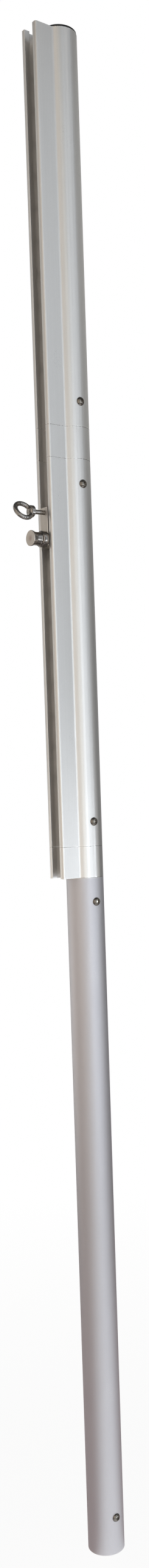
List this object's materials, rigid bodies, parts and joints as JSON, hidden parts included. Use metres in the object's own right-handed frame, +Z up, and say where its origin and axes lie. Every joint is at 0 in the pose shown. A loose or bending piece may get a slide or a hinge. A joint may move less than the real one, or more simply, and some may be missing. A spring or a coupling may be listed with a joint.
{
  "type": "sectional shade sail mast with track slider",
  "caption": "Round aluminium mast in joined sections with a slotted front track, and a slider that carries an eye bolt and a pull plunger.",
  "frame": {"origin": "centre of the mast's flat foot, on the axis of the round tube", "axes": "+Z up along the tube, -Y out of the track's mouth, +X to the right seen from the front"},
  "size_m": [0.0696, 0.1425, 2.4337],
  "materials": {
    "anodised": "satin anodised",
    "stainless": "polished stainless steel",
    "black_plastic": "matt moulded"
  },
  "bodies": {
    "mast": {"foot_plug": "anodised", "lower_tube": "anodised", "lower_sleeve": "anodised", "lower_spacer": "anodised", "middle_track": "anodised", "upper_sleeve": "anodised", "upper_spacer": "anodised", "upper_track": "anodised", "top_cap": "black_plastic", "foot_screw_right": "stainless", "foot_screw_left": "stainless", "lower_tube_screw_right": "stainless", "lower_tube_screw_left": "stainless", "middle_track_low_screw_right": "stainless", "middle_track_low_screw_left": "stainless", "middle_track_high_screw_right": "stainless", "middle_track_high_screw_left": "stainless", "upper_track_screw_right": "stainless", "upper_track_screw_left": "stainless"},
    "slider": {"slider_plate": "stainless", "slider_shoe": "stainless", "plunger_body": "stainless"},
    "eye": {"eye_bolt": "stainless", "eye_nut": "stainless"},
    "plunger": {"plunger_knob": "stainless", "plunger_pin": "stainless"}
  },
  "joints": [
    {"name": "slider_travel", "type": "slide", "parent": "mast", "child": "slider", "axis": [0, 0, 1], "range_m": [-0.52, 0.73]},
    {"name": "eye_bolt_turn", "type": "hinge", "parent": "slider", "child": "eye", "pos_m": [0, -0.0566, 1.686], "axis": [0, -1, 0], "range_deg": [-180, 180]},
    {"name": "plunger_pull", "type": "slide", "parent": "slider", "child": "plunger", "axis": [0, -1, 0], "range_m": [0, 0.008], "stiffness_N_per_m": 1500, "springref_m": -0.005}
  ]
}
